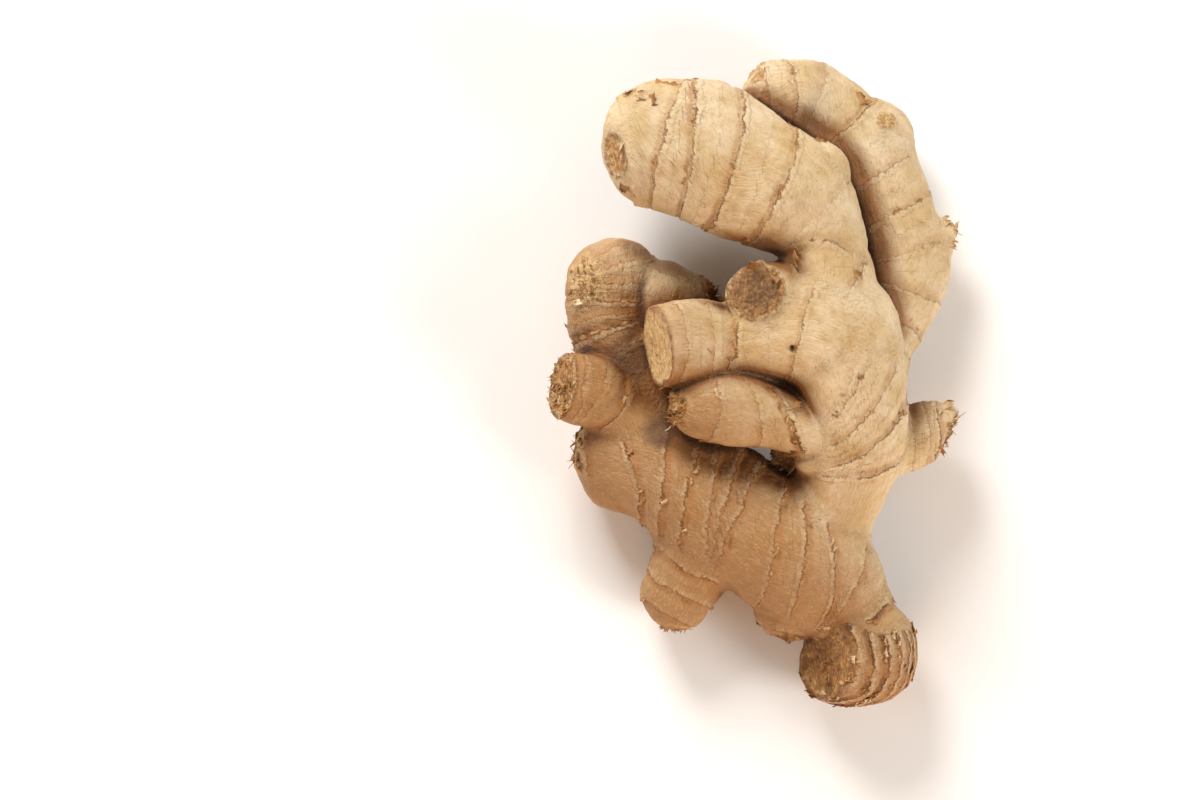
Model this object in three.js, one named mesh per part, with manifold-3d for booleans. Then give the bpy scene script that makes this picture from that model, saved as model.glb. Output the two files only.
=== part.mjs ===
// A fresh ginger root: one whole rhizome with its fingers, as lifted and dried, lying on its flatter side.
// It grew as one piece, so it is one solid. Millimetres, +Z up, resting on Z = 0, +Y towards the crown fingers.
// The origin is under the middle of the rhizome, on the surface it lies on.

import * as THREE from "three";
import { mergeVertices } from "three/addons/utils/BufferGeometryUtils.js";
import Module from "manifold-3d";

const wasm = await Module();
wasm.setup();

// Driving dimensions
const FACE_SIZE = 5; // side of a typical facet of the skin
const CAP_ROWS = 4; // rows of facets over a rounded finger end
const FEWEST_SIDES = 10; // facets round the thinnest bud
const REST_DEPTH = 0.9; // how far the lowest lobes are flattened where the rhizome lies
const ROUND = 0.9; // a rounded end bulges by this share of its radius
const BROKEN = 0.14; // a broken-off, healed end is nearly flat
const SWELL = 0.03; // how far a finger's section departs from a circle, as a share of its radius
const SKIN = { color: 0xd3ab76, roughness: 0.62, metalness: 0 };

// Each limb is a row of stations [x, y, z, radius] along its middle, from where it grew out to its tip.
const LIMBS = [
  {
    // The main stem of the hand: out of the old body, up through a neck and over into the thickest finger.
    name: "crown_finger",
    tip: 0.7,
    stations: [
      [17.5, -35, 18.5, 10.5], [21.5, -24.5, 21.5, 11.2], [24.5, -12, 25, 12.6], [24, -1.5, 27.5, 13.5],
      [21, 10.5, 29, 14], [18.5, 21, 30, 11.8], [17.5, 30.5, 30.5, 11.1], [16, 38, 31, 11],
      [9, 47, 31, 14.1], [-3.5, 53, 31, 16.3], [-13.5, 58.2, 31, 17.4], [-22.5, 59.8, 30.5, 15.7],
      [-27.5, 59.2, 30.5, 14],
    ],
  },
  { name: "shoulder", tip: ROUND, stations: [[10, 45, 31, 12], [15, 53.2, 30, 8.8]] },
  {
    // Stout branch off the stem that ends in a clean break.
    name: "side_branch",
    tip: BROKEN,
    stations: [
      [22.5, 12, 29, 14], [11.5, 15.5, 30.5, 15], [1, 13, 33, 11.5], [-7.5, 11, 34.5, 9.5],
      [-15.5, 11, 35.5, 11], [-23, 10, 38, 10.3],
    ],
  },
  {
    // Stump of a finger that was snapped off above the side branch.
    name: "snapped_stump",
    tip: BROKEN,
    stations: [[13.5, 18.5, 30, 12.5], [6.5, 21.5, 33, 9.5], [0.4, 22.9, 41, 7.2]],
  },
  { name: "crotch", tip: ROUND, stations: [[18, 2, 25, 9], [9, 1, 26.5, 6.5], [4, 1, 27, 4.5]] },
  {
    name: "fore_finger",
    tip: 0.5,
    stations: [
      [22, -12, 25, 9], [12, -10.5, 29, 7.8], [3.6, -7.6, 32.5, 7.9], [-3.5, -5.4, 34.5, 9.4],
      [-8.5, -4.9, 35.5, 9.7], [-13, -4.8, 35.8, 8.3], [-16.4, -4.8, 35.8, 5.6],
    ],
  },
  {
    name: "fore_bud",
    tip: ROUND,
    stations: [[23, -15, 24, 8], [17, -17.5, 28, 5.2], [13, -19, 29, 4]],
  },
  {
    name: "dry_bud",
    tip: ROUND,
    stations: [[15, -16, 23.5, 5.4], [11, -16.5, 24, 4.6], [7.5, -17, 24.5, 3.4]],
  },
  {
    // Long finger that lies behind the stem and curls over the crown.
    name: "outer_finger",
    tip: 0.6,
    stations: [
      [26, -0.5, 20, 11], [30, 10.5, 15.5, 10], [34.2, 20.5, 13, 11.2], [36.8, 31, 12, 12.2],
      [34, 41.5, 12, 12], [30, 53, 12, 11.7], [23, 63.5, 12.3, 11], [15, 70.5, 13, 10.6],
      [7.5, 72, 15, 9.8], [2.2, 74, 17, 7.2],
    ],
  },
  { name: "outer_knuckle", tip: ROUND, stations: [[29, 58, 12, 10.3], [32.5, 63.5, 13, 7.6]] },
  { name: "outer_bud", tip: ROUND, stations: [[44, 36, 13, 5], [48.5, 39, 14, 2.9]] },
  {
    name: "thorn_finger",
    tip: 0.7,
    stations: [
      [26, -16, 20, 10], [34, -14, 17.5, 9], [41.5, -12, 16, 8], [48.4, -9.6, 15.5, 5.8],
    ],
  },
  {
    // Last season's growth, the thickest and most closely ringed part.
    name: "old_body",
    tip: ROUND,
    stations: [
      [-32.5, -16, 14, 12.2], [-24, -19, 16, 14.2], [-13.5, -26.2, 17, 15.6], [-1, -34.3, 17.5, 16],
      [10, -41, 17.5, 16.8], [17, -47, 16, 14.5], [20, -52, 14.5, 11.5],
    ],
  },
  { name: "root_lobe", tip: ROUND, stations: [[-26, -20, 13, 10], [-34.5, -22.5, 12, 9.5]] },
  {
    name: "blunt_finger",
    tip: ROUND,
    stations: [[-21.5, -9.5, 15, 11], [-28.5, 3.5, 14.5, 11.5], [-34, 15, 13, 12.2], [-34.5, 25.5, 12.3, 12.3]],
  },
  {
    name: "blunt_lobe",
    tip: ROUND,
    stations: [[-27, 10, 14, 9], [-22.5, 21.5, 14.5, 10.6]],
  },
  { name: "blunt_bud", tip: ROUND, stations: [[-21, 21, 13.5, 8], [-15.5, 23, 14, 5.4], [-12.6, 24.2, 14.5, 3]] },
  { name: "rear_bud", tip: ROUND, stations: [[11.5, 9, 19, 9], [-1, 13, 13, 7], [-8, 18.5, 11, 4.4]] },
  {
    name: "left_finger",
    tip: BROKEN,
    stations: [[-25, -12.5, 16, 10.5], [-33.5, -4.5, 20, 9.6], [-39.5, -1.5, 23, 9.2], [-47, 0, 26, 8.8]],
  },
  { name: "curl_base", tip: ROUND, stations: [[17, -48, 15, 11], [24.5, -56.5, 13.5, 10.6], [28, -64.5, 13, 11.5]] },
  { name: "curl_end", tip: BROKEN, stations: [[28.3, -67.5, 12.6, 12.7], [23.5, -68, 14.5, 12.7], [19, -68, 17, 11]] },
  { name: "under_knob", tip: 0.8, stations: [[12.5, -46, 16, 12], [9.5, -54.5, 14, 9.4], [8, -59.5, 13, 5.6]] },
  { name: "low_finger", tip: ROUND, stations: [[-7.5, -32, 16, 14], [-15, -44.5, 13.5, 10.5], [-19.5, -53, 12, 9]] },
];

// Takes a closed geometry to a manifold solid, by its positions alone.
function solid(geometry) {
  geometry.deleteAttribute("normal");
  geometry.deleteAttribute("uv");
  const merged = mergeVertices(geometry, 1e-4);
  return new wasm.Manifold(
    new wasm.Mesh({
      numProp: 3,
      vertProperties: merged.attributes.position.array,
      triVerts: new Uint32Array(merged.index.array),
    }),
  );
}

// One limb: a capsule of radius 1 whose middle is bent along the stations and swelled to their radii.
function limb({ stations, tip }) {
  const middle = new THREE.CatmullRomCurve3(stations.map(([x, y, z]) => new THREE.Vector3(x, y, z)));
  const radii = new THREE.CatmullRomCurve3(stations.map(([, , , r]) => new THREE.Vector3(r, 0, 0)));
  middle.curveType = radii.curveType = "catmullrom";
  const length = middle.getLength();
  const widest = Math.max(...stations.map((station) => station[3]));
  const rows = Math.max(2, Math.round(length / FACE_SIZE));
  const sides = Math.max(FEWEST_SIDES, Math.round((2 * Math.PI * widest) / FACE_SIZE));
  const capsule = new THREE.CapsuleGeometry(1, length, CAP_ROWS, sides, rows);
  const place = capsule.getAttribute("position");
  const up = new THREE.Vector3(0, 0, 1);

  for (let i = 0; i < place.count; i++) {
    const along = THREE.MathUtils.clamp(place.getY(i) / length + 0.5, 0, 1);
    const beyond = place.getY(i) - THREE.MathUtils.clamp(place.getY(i), -length / 2, length / 2);
    const centre = middle.getPoint(along);
    const ahead = middle.getTangent(along);
    const side = new THREE.Vector3().crossVectors(ahead, up).normalize();
    const above = new THREE.Vector3().crossVectors(side, ahead);
    const round = Math.atan2(place.getZ(i), place.getX(i));
    const swell = 1 + SWELL * Math.sin(2 * round + 5 * along) * Math.hypot(place.getX(i), place.getZ(i));
    const radius = radii.getPoint(along).x * swell;
    centre
      .addScaledVector(ahead, beyond * radius * (beyond > 0 ? tip : ROUND))
      .addScaledVector(side, place.getX(i) * radius)
      .addScaledVector(above, place.getZ(i) * radius);
    place.setXYZ(i, centre.x, centre.y, centre.z);
  }
  return solid(capsule);
}

// Everything below the surface that the rhizome lies on.
function ground() {
  const size = 400;
  return solid(new THREE.BoxGeometry(size, size, size).translate(0, 0, -size / 2));
}

// All limbs joined, lowered onto the surface, flattened where they bear on it, and centred over the origin.
function rhizome() {
  const joined = LIMBS.map(limb).reduce((whole, next) => whole.add(next));
  const { min, max } = joined.boundingBox();
  const middle = [(min[0] + max[0]) / 2, (min[1] + max[1]) / 2];
  const laid = joined.translate([-middle[0], -middle[1], -min[2] - REST_DEPTH]).subtract(ground());
  const mesh = laid.getMesh();
  const geometry = new THREE.BufferGeometry()
    .setAttribute("position", new THREE.BufferAttribute(mesh.vertProperties, 3))
    .setIndex(new THREE.BufferAttribute(mesh.triVerts, 1));
  geometry.computeVertexNormals();
  const whole = new THREE.Mesh(geometry, new THREE.MeshStandardMaterial(SKIN));
  whole.name = "rhizome";
  return whole;
}

const root = new THREE.Group();
root.add(rhizome());

export default root;
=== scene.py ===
"""A whole fresh ginger rhizome, lying on a pale table under soft studio light."""

import bpy
import numpy as np
import openvdb
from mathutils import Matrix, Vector


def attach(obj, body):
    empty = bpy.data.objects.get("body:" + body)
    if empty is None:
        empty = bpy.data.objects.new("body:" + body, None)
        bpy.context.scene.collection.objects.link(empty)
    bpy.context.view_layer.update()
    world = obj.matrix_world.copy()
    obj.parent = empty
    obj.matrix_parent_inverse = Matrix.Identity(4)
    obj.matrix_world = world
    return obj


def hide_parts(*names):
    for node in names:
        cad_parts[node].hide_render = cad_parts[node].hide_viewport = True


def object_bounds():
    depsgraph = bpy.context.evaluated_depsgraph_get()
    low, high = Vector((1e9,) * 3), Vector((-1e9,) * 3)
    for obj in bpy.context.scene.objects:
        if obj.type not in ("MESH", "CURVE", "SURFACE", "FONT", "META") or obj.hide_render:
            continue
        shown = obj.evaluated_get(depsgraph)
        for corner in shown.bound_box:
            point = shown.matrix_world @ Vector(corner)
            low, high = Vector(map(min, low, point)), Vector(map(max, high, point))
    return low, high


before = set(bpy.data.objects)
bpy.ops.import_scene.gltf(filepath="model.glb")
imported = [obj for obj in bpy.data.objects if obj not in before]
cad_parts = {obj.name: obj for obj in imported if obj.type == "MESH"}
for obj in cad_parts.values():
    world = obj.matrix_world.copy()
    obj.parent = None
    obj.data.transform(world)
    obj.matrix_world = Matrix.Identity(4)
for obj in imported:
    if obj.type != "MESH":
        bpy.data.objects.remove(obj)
cad_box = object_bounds()


# ---------------------------------------------------------------- The rhizome: its body
# A swollen underground stem of ginger. Its side shoots, the fingers, grew out of each other and never come
# apart, so it is one piece. Each finger is a limb: a line of stations through its middle, in millimetres,
# with its radius at each of them.

# name: (grew from, fillet where it joins in mm, bulge of its round end as a share of its radius, or 0 where
# it runs on to a break, stations x y z radius)
LIMBS = {
    "old_body": (None, 0, 0.9, [
        (-32.5, -16, 14, 12.2), (-24, -19, 16, 14.2), (-13.5, -26.2, 17, 15.6), (-1, -34.3, 17.5, 16),
        (10, -41, 17.5, 16.8), (17, -47, 16, 14.5), (20, -52, 14.5, 11.5)]),
    "root_lobe": ("old_body", 5, 0.9, [(-26, -20, 13, 10), (-34.5, -22.5, 12, 9.5)]),
    "stem": ("old_body", 6, 0.7, [
        (17.5, -35, 18.5, 10.5), (21.5, -24.5, 21.5, 11.2), (24.5, -12, 25, 12.6), (24, -1.5, 27.5, 13.5),
        (21, 10.5, 29, 14), (18.5, 21, 30, 11.8), (17.5, 30.5, 30.5, 11.1), (16, 38, 31, 11),
        (9, 47, 31, 14.1), (-3.5, 53, 31, 16.3), (-13.5, 58.2, 31, 17.4), (-22.5, 59.8, 30.5, 15.7),
        (-27.5, 59.2, 30.5, 14)]),
    "shoulder": ("stem", 1.2, 0.9, [(10, 45, 31, 12), (15, 53.2, 30, 8.8)]),
    "side_branch": ("stem", 5, 0, [
        (22.5, 12, 29, 14), (11.5, 15.5, 30.5, 15), (1, 13, 33, 11.5), (-7.5, 11, 34.5, 9.5),
        (-15.5, 11, 35.5, 11), (-23, 10, 38, 10.3)]),
    "snapped_stump": ("stem", 2.5, 0, [
        (13.5, 18.5, 30, 12.5), (6.5, 21.5, 33, 9.5), (0.4, 22.9, 41, 7.2)]),
    "stump_bud": ("snapped_stump", 0.5, 1, [(1.6, 27, 37, 1.7), (1.1, 29.8, 41, 1.5)]),
    "crotch": ("stem", 4, 0.9, [(18, 2, 25, 9), (9, 1, 26.5, 6.5), (4, 1, 27, 4.5)]),
    "fore_finger": ("stem", 2, 0.5, [
        (22, -12, 25, 9), (12, -10.5, 29, 7.8), (3.6, -7.6, 32.5, 7.9), (-3.5, -5.4, 34.5, 9.4),
        (-8.5, -4.9, 35.5, 9.7), (-13, -4.8, 35.8, 8.3), (-16.4, -4.8, 35.8, 5.6)]),
    "fore_bud": ("stem", 3, 0.9, [(23, -15, 24, 8), (17, -17.5, 28, 5.2), (13, -19, 29, 4)]),
    "dry_bud": ("stem", 2, 0.9, [(15, -16, 23.5, 5.4), (11, -16.5, 24, 4.6), (7.5, -17, 24.5, 3.4)]),
    "outer_finger": ("stem", 5, 0.6, [
        (26, -0.5, 20, 11), (30, 10.5, 15.5, 10), (34.2, 20.5, 13, 11.2), (36.8, 31, 12, 12.2),
        (34, 41.5, 12, 12), (30, 53, 12, 11.7), (23, 63.5, 12.3, 11), (15, 70.5, 13, 10.6),
        (7.5, 72, 15, 9.8), (2.2, 74, 17, 7.2)]),
    "outer_knuckle": ("outer_finger", 5, 0.9, [(29, 58, 12, 10.3), (32.5, 63.5, 13, 7.6)]),
    "outer_bud": ("outer_finger", 2.5, 0.9, [(44, 36, 13, 5), (48.5, 39, 14, 2.9)]),
    "thorn_finger": ("stem", 3, 0.7, [
        (26, -16, 20, 10), (34, -14, 17.5, 9), (41.5, -12, 16, 8), (48.4, -9.6, 15.5, 5.8)]),
    "blunt_finger": ("old_body", 4, 0.95, [
        (-21.5, -9.5, 15, 11), (-28.5, 3.5, 14.5, 11.5), (-34, 15, 13, 12.2), (-34.5, 25.5, 12.3, 12.3)]),
    "blunt_lobe": ("blunt_finger", 1.3, 0.9, [(-27, 10, 14, 9), (-23.4, 22.3, 14, 10.5)]),
    "blunt_bud": ("blunt_lobe", 3, 0.9, [(-21, 21, 13.5, 8), (-15.5, 23, 14, 5.4), (-12.6, 24.2, 14.5, 3)]),
    "rear_bud": ("stem", 3, 0.9, [(11.5, 9, 19, 9), (-1, 13, 13, 7), (-8, 18.5, 11, 4.4)]),
    "left_finger": ("old_body", 3, 0, [
        (-25, -12.5, 16, 10.5), (-33.5, -4.5, 20, 9.6), (-39.5, -1.5, 23, 9.2), (-47, 0, 26, 8.8)]),
    "curl_base": ("old_body", 4, 0.9, [(17, -48, 15, 11), (24.5, -56.5, 13.5, 10.6), (28, -64.5, 13, 11.5)]),
    "curl_end": ("curl_base", 3, 0, [
        (28.3, -67.5, 12.6, 12.7), (23.5, -68, 14.5, 12.7), (19, -68, 17, 11)]),
    "under_knob": ("old_body", 3, 0.8, [(12.5, -46, 16, 12), (9.5, -54.5, 14, 9.4), (8, -59.5, 13, 5.6)]),
    "low_finger": ("old_body", 4, 0.9, [(-7.5, -32, 16, 14), (-15, -44.5, 13.5, 10.5), (-19.5, -53, 12, 9)]),
}
# Where a finger broke or was cut off and healed over, lengths in mm.
# limb: (middle of the face, way it looks, radius, softness of its rim, how brown it went, how rough it is)
BREAKS = {
    "stem": ((-33.8, 57.2, 37.2), (-0.9, -0.12, 0.42), 6.4, 1.3, 0.3, 0.6),
    "side_branch": ((-24.4, 9.9, 38.4), (-0.94, -0.1, 0.33), 10.3, 1.8, 0.1, 0.3),
    "snapped_stump": ((0.1, 23.2, 42), (-0.3, 0.25, 0.92), 8.0, 0.7, 0.68, 0.5),
    "left_finger": ((-48.1, 0.2, 26.5), (-0.9, 0.16, 0.4), 8.8, 2.2, 0.35, 1.0),
    "thorn_finger": ((49.3, -11.4, 15.6), (0.88, -0.44, 0.2), 6, 2.5, 0.3, 1.1),
    "curl_end": ((18, -68, 18), (-0.84, 0, 0.54), 11, 2.0, 0.5, 0.5),
}
DISH = 0.9  # how much lower the middle of a break is than its rim, in mm
CREASE = 0.7  # fingers that only press on each other meet in a crease this soft, in mm
JOIN_REACH = 4, 12  # a fillet fades out this far past the first station's radius, in mm
REST_DEPTH = 0.9  # how far the lowest lobes are flattened where the rhizome lies, in mm
REST_SOFT = 0.5  # how soft the edge of those flats is, in mm
SPAN_STEPS = 7  # straight spans between two stations
FAR = 60.0  # stands for the distance to a limb that is out of reach, in mm
LIMB_REACH = 9  # a limb is out of reach this far past its box, in mm
CELL = 0.76  # spacing of the grid that the surface is found on, in mm
SLAB = 24  # layers of that grid that are worked out at once
RELAX_ROUNDS, SETTLE_ROUNDS = 3, 2  # the corners are first evened out and then put back on the surface
PROBE, LEAST_SLOPE, LONGEST_STEP = 0.3, 0.4, 0.6  # for putting them back; lengths in mm


def centre_line(stations):
    """Catmull-Rom line through the stations, radius included: on each span the cubic that leaves and arrives
    with half the step between the neighbours on either side. The end neighbours are mirrored stations."""
    given = np.array(stations, float)
    row = np.vstack([2 * given[0] - given[1], given, 2 * given[-1] - given[-2]])
    before, start, end, after = (row[i:len(row) - 3 + i, None] for i in range(4))
    leave, arrive = (end - before) / 2, (after - start) / 2
    t = np.linspace(0, 1, SPAN_STEPS, endpoint=False)[None, :, None]
    cubic = (2 * start - 2 * end + leave + arrive) * t**3 + (3 * end - 3 * start - 2 * leave - arrive) * t**2
    return np.vstack([(cubic + leave * t + start).reshape(-1, 4), given[-1:]]).astype(np.float32)


def on_line(line, points):
    """Least of (distance to the span's axis - radius there) over a line's spans, and where on the line that
    is: the span's number plus the share of the span."""
    near = np.full(len(points), np.inf, np.float32)
    place = np.zeros(len(points), np.float32)
    for i, (low, high) in enumerate(zip(line[:-1], line[1:])):
        step = high - low
        from_low = points - low[:3]
        share = np.clip(from_low @ step[:3] / (step[:3] @ step[:3]), 0, 1)
        gap = from_low - share[:, None] * step[:3]
        distance = np.sqrt(np.einsum("ij,ij->i", gap, gap)) - low[3] - share * step[3]
        closer = distance < near
        near[closer] = distance[closer]
        place[closer] = i + share[closer]
    return near, place


def soft_max(a, b, width):
    """The larger of a and b, plus (what is left of width after their difference) squared over four widths."""
    return np.maximum(a, b) + np.maximum(width - np.abs(a - b), 0) ** 2 / (4 * width)


def soft_min(a, b, width):
    """The smaller of a and b, rounded where they are within width of each other."""
    return -soft_max(-a, -b, width)


def step_up(value, low, high):
    """0 below low, 1 above high, and three squares less two cubes of the share between."""
    share = np.clip((value - low) / (high - low), 0, 1)
    return share * share * (3 - 2 * share)


def unit(vectors):
    """Vectors over their lengths."""
    return vectors / np.maximum(np.linalg.norm(vectors, axis=-1, keepdims=True), 1e-9)


lines = {}
for name, (_, _, bulge, stations) in LIMBS.items():
    line = centre_line(stations)
    if not bulge:
        past = line[-1] + np.append(unit(line[-1, :3] - line[-2, :3]) * line[-1, 3], 0)
        line = np.vstack([line, past]).astype(np.float32)
    lines[name] = line

limb_number = {name: i for i, name in enumerate(LIMBS)}
floor_height = min((line[:, 2] - line[:, 3]).min() for line in lines.values()) + REST_DEPTH


def limb_distance(name, points):
    """Distance in mm to the skin of one limb, below zero inside. A round end is stretched or flattened along
    the line. A break cuts it off with a dished face, which rises with the square of the way out from its
    middle."""
    line, bulge = lines[name], LIMBS[name][2]
    near, place = on_line(line, points)
    if bulge:
        ahead = unit(line[-1, :3] - line[-2, :3])
        from_end = points - line[-1, :3]
        beyond = from_end @ ahead
        tip = (place > len(line) - 1.001) & (beyond > 0)
        across = np.linalg.norm(from_end[tip] - beyond[tip, None] * ahead, axis=1)
        near[tip] = np.hypot(across, beyond[tip] / bulge) - line[-1, 3]
    if name in BREAKS:
        middle, way, radius, rim, _, _ = BREAKS[name]
        way = unit(np.array(way))
        from_face = points - middle
        above_face = from_face @ way
        spread = np.linalg.norm(from_face - above_face[:, None] * way, axis=1) / radius
        near = soft_max(near, above_face + DISH * (0.6 - np.minimum(spread, 1.3) ** 2), rim)
    return near.astype(np.float32)


def limb_distances(points):
    """Distance to every limb, one row each; a limb whose box is out of reach counts as FAR away."""
    rows = np.full((len(LIMBS), len(points)), FAR, np.float32)
    for row, name in zip(rows, LIMBS):
        line = lines[name]
        low = (line[:, :3] - line[:, 3:]).min(0) - LIMB_REACH
        high = (line[:, :3] + line[:, 3:]).max(0) + LIMB_REACH
        near = np.flatnonzero(((points > low) & (points < high)).all(1))
        row[near] = limb_distance(name, points[near])
    return rows


def skin_distance(points):
    """Distance to the whole rhizome: every limb is blended into the one it grew from, with a fillet that
    fades to a crease away from where it grew out. Those pairs meet in creases, and what is below the table is
    cut away."""
    rows = limb_distances(points)
    whole = rows[limb_number["old_body"]]
    for name, (parent, fillet, _, stations) in LIMBS.items():
        if parent:
            from_base = np.linalg.norm(points - stations[0][:3], axis=1) - stations[0][3]
            fade = step_up(from_base, *JOIN_REACH)
            own, older = rows[limb_number[name]], rows[limb_number[parent]]
            joined = soft_min(own, older, fillet + (CREASE - fillet) * fade)
            whole = soft_min(whole, joined, CREASE)
    return soft_max(whole, floor_height - points[:, 2], REST_SOFT)


def find_surface(cell):
    """Quads where skin_distance is zero, found on a grid of the given spacing in slabs, corners in mm."""
    stations = np.vstack(list(lines.values()))
    low = (stations[:, :3] - stations[:, 3:]).min(0) - 3 * cell
    high = (stations[:, :3] + stations[:, 3:]).max(0) + 3 * cell
    counts = np.ceil((high - low) / cell).astype(int)
    axes = [low[i] + cell * np.arange(counts[i]) for i in range(3)]
    field = np.empty(counts, np.float32)
    for first in range(0, counts[0], SLAB):
        slab = np.stack(np.meshgrid(axes[0][first:first + SLAB], *axes[1:], indexing="ij"), -1)
        distance = skin_distance(slab.reshape(-1, 3).astype(np.float32))
        field[first:first + SLAB] = distance.reshape(slab.shape[:3])
    grid = openvdb.FloatGrid(FAR)
    grid.copyFromArray(field)
    corners, quads = grid.convertToQuads(0.0)
    return low + cell * corners.astype(float), quads.astype(int)


def corner_normals(corners, quads):
    """Outward unit normal at each corner: the sum of the cross products of its quads' diagonals."""
    a, b, c, d = (corners[quads[:, i]] for i in range(4))
    face = np.cross(c - a, d - b)
    total = [np.bincount(quads.ravel(), np.repeat(face[:, i], 4), len(corners)) for i in range(3)]
    return unit(np.stack(total, 1))


def neighbour_mean(values, quads, group=None):
    """Mean of a value over the corners that share an edge with each corner. If groups are given, only the
    corners of its own group count."""
    here, there = quads.ravel(), np.roll(quads, -1, axis=1).ravel()
    if group is not None:
        same = group[here] == group[there]
        here, there = here[same], there[same]
    size = len(values)
    count = np.bincount(here, minlength=size) + np.bincount(there, minlength=size)
    sums = [
        np.bincount(here, column[there], size) + np.bincount(there, column[here], size)
        for column in values.reshape(size, -1).T
    ]
    mean = (np.stack(sums, 1) / np.maximum(count, 1)[:, None]).reshape(values.shape)
    return np.where((count > 0).reshape(-1, *[1] * (values.ndim - 1)), mean, values)


skin, quads = find_surface(CELL)
if np.einsum("ij,ij->", corner_normals(skin, quads), skin - skin.mean(0)) < 0:
    quads = quads[:, ::-1]
for _ in range(RELAX_ROUNDS):
    normal = corner_normals(skin, quads)
    slide = neighbour_mean(skin, quads) - skin
    skin = skin + 0.5 * (slide - np.einsum("ij,ij->i", slide, normal)[:, None] * normal)
for _ in range(SETTLE_ROUNDS):
    normal = corner_normals(skin, quads)
    here = skin_distance(skin.astype(np.float32))
    slope = (skin_distance((skin + PROBE * normal).astype(np.float32)) - here) / PROBE
    back = np.clip(here / np.maximum(slope, LEAST_SLOPE), -LONGEST_STEP, LONGEST_STEP)
    skin = skin - back[:, None] * normal
normal = corner_normals(skin, quads)


# ---------------------------------------------------------------- The rhizome: how its skin runs
# The corky skin is laid down along each finger as it grows, so its fibres, wrinkles and rings follow the
# finger's own direction. Every corner belongs to the finger whose skin is nearest, and its place is how far
# along the middle line it is and which way out from it.

STREAK = 3.6  # the skin's fibres are this many times longer than they are wide
EVEN_ROUNDS = 8

# lead is how much farther off the next finger is, in mm. It is small where two fingers meet, and there the
# fibres give way to plain skin.
rows = limb_distances(skin.astype(np.float32))
order = np.argsort(rows, axis=0)
owner = order[0]
lead = np.take_along_axis(rows, order[1:2], 0)[0] - np.take_along_axis(rows, order[:1], 0)[0]

along = np.zeros(len(skin))
offset = np.zeros((len(skin), 3))
ahead = np.zeros((len(skin), 3))
beside = np.zeros(len(skin))
above = np.zeros(len(skin))
for number, name in enumerate(LIMBS):
    mine = np.flatnonzero(owner == number)
    if not len(mine):
        continue
    line = lines[name].astype(float)
    _, place = on_line(lines[name], skin[mine].astype(np.float32))
    span = np.minimum(place.astype(int), len(line) - 2)
    steps = np.linalg.norm(np.diff(line[:, :3], axis=0), axis=1)
    run = np.append(0, np.cumsum(steps))
    headings = unit(np.gradient(line[:, :3], axis=0))
    share = (place - span)[:, None]
    centre = line[span, :3] * (1 - share) + line[span + 1, :3] * share
    ahead[mine] = unit(headings[span] * (1 - share) + headings[span + 1] * share)
    out = skin[mine] - centre
    lengthwise = np.einsum("ij,ij->i", out, ahead[mine])
    along[mine] = run[span] + share[:, 0] * steps[span] + lengthwise
    offset[mine] = out - lengthwise[:, None] * ahead[mine]
    side = unit(np.cross(ahead[mine], (0, 0, 1)))
    beside[mine] = np.einsum("ij,ij->i", offset[mine], side)
    above[mine] = np.einsum("ij,ij->i", offset[mine], np.cross(side, ahead[mine]))

# The places are evened out within each finger, because the spans of its line meet at small angles.
for _ in range(EVEN_ROUNDS):
    along, beside, above = (neighbour_mean(value, quads, owner) for value in (along, beside, above))
    offset, ahead = neighbour_mean(offset, quads, owner), neighbour_mean(ahead, quads, owner)
grain = offset + ahead * along[:, None] / STREAK
fibrous = step_up(lead, 0.3, 1.8)


# ---------------------------------------------------------------- The rhizome: its rings and healed breaks
# Each ring is the scar of a scale leaf that once sheathed the finger: a torn, corky lip round the whole of
# it. Rings stand at the old leaf joints, so they are a few mm apart on old growth and a finger's width on
# young. Where a finger broke or a root died off, the flesh healed over with rough brown cork.

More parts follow.
